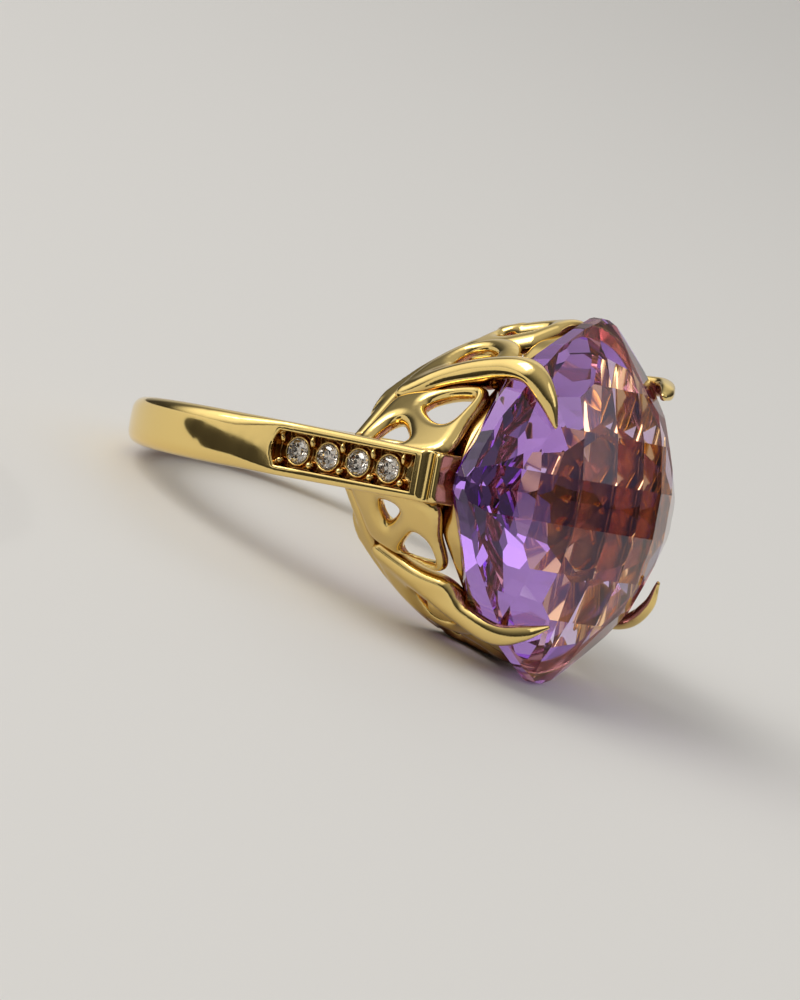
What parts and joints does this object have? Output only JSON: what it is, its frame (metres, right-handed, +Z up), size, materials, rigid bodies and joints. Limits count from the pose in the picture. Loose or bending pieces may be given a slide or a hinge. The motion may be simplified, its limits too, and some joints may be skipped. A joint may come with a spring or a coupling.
{
  "type": "cocktail ring",
  "caption": "Gold cocktail ring with a large purple cushion stone set cornerwise in four curled claws over a pierced gallery, and small round stones sunk into the shoulders.",
  "frame": {"origin": "middle of the footprint of the ring's bounding box, on the surface the ring lies on", "axes": "+Z up; -Y towards the face of the centre stone and +Y towards the palm side of the band (the longest extent); X across the finger; the finger axis is 17.5 degrees off vertical because the ring lies on its side, resting on the palm's edge and the stone's lower corner"},
  "size_m": [0.0208, 0.027, 0.0167],
  "materials": {
    "gold": "polished",
    "amethyst": "polished",
    "diamond": "polished"
  },
  "bodies": {
    "root": {"shank": "gold", "base_rail": "gold", "seat_rail": "gold", "gallery_end_upper": "gold", "gallery_end_lower": "gold", "claw_upper_left": "gold", "claw_upper_right": "gold", "claw_lower_left": "gold", "claw_lower_right": "gold", "gallery_panel_upper_left": "gold", "gallery_panel_upper_right": "gold", "gallery_panel_lower_left": "gold", "gallery_panel_lower_right": "gold", "centre_stone": "amethyst", "shoulder_diamond_left_1": "diamond", "shoulder_diamond_left_2": "diamond", "shoulder_diamond_left_3": "diamond", "shoulder_diamond_left_4": "diamond", "shoulder_diamond_right_1": "diamond", "shoulder_diamond_right_2": "diamond", "shoulder_diamond_right_3": "diamond", "shoulder_diamond_right_4": "diamond"}
  },
  "joints": []
}
